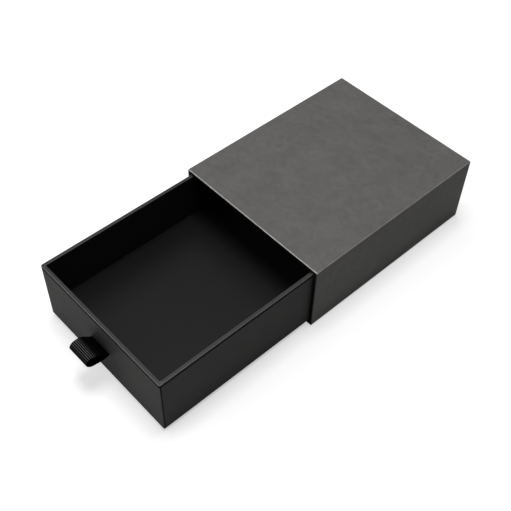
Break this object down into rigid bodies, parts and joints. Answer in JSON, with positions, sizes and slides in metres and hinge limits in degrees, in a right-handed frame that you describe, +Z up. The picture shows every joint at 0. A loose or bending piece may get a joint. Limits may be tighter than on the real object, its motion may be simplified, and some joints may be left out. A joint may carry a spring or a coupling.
{
  "type": "sliding drawer gift box",
  "caption": "Rigid paper-covered drawer with a ribbon pull, sliding out of a closed-back paper-covered sleeve.",
  "frame": {"origin": "centre of the sleeve's underside, which the box rests on", "axes": "+Z up; the drawer's front faces -Y and the drawer pulls out along -Y; +X to the right seen from the front"},
  "size_m": [0.11, 0.2564, 0.048],
  "materials": {
    "sleeve_paper": "matte, faintly mottled charcoal covering paper",
    "drawer_paper": "matte soft-black covering paper",
    "lining_paper": "matte black lining paper",
    "grey_board": "raw dark grey board",
    "platform_card": "satin black card",
    "corner_tape": "brown paper tape",
    "pull_ribbon": "black corded ribbon with cross ribs"
  },
  "bodies": {
    "sleeve": {"sleeve_bottom_board": "grey_board", "sleeve_top_board": "grey_board", "sleeve_left_board": "grey_board", "sleeve_right_board": "grey_board", "sleeve_back_board": "grey_board", "sleeve_corner_tapes": "corner_tape", "sleeve_wrap": "sleeve_paper", "sleeve_base_paper": "sleeve_paper", "sleeve_back_paper": "sleeve_paper", "sleeve_liner": "lining_paper", "sleeve_back_liner": "lining_paper"},
    "drawer": {"drawer_bottom_board": "grey_board", "drawer_front_board": "grey_board", "drawer_back_board": "grey_board", "drawer_left_board": "grey_board", "drawer_right_board": "grey_board", "drawer_corner_tapes": "corner_tape", "drawer_wrap": "drawer_paper", "drawer_wall_liner": "lining_paper", "drawer_floor_liner": "lining_paper", "drawer_platform": "platform_card", "ribbon_tails": "pull_ribbon", "ribbon_patch": "corner_tape"},
    "pull": {"pull_ribbon": "pull_ribbon"}
  },
  "joints": [
    {"name": "drawer_slide", "type": "slide", "parent": "sleeve", "child": "drawer", "axis": [0, -1, 0], "range_m": [-0.1075, 0.0317]},
    {"name": "pull_flex", "type": "hinge", "parent": "drawer", "child": "pull", "pos_m": [-0.0008, -0.175, 0.02335], "axis": [-1, 0, 0], "range_deg": [-50, 30], "stiffness_Nm_per_rad": 0.0004}
  ]
}
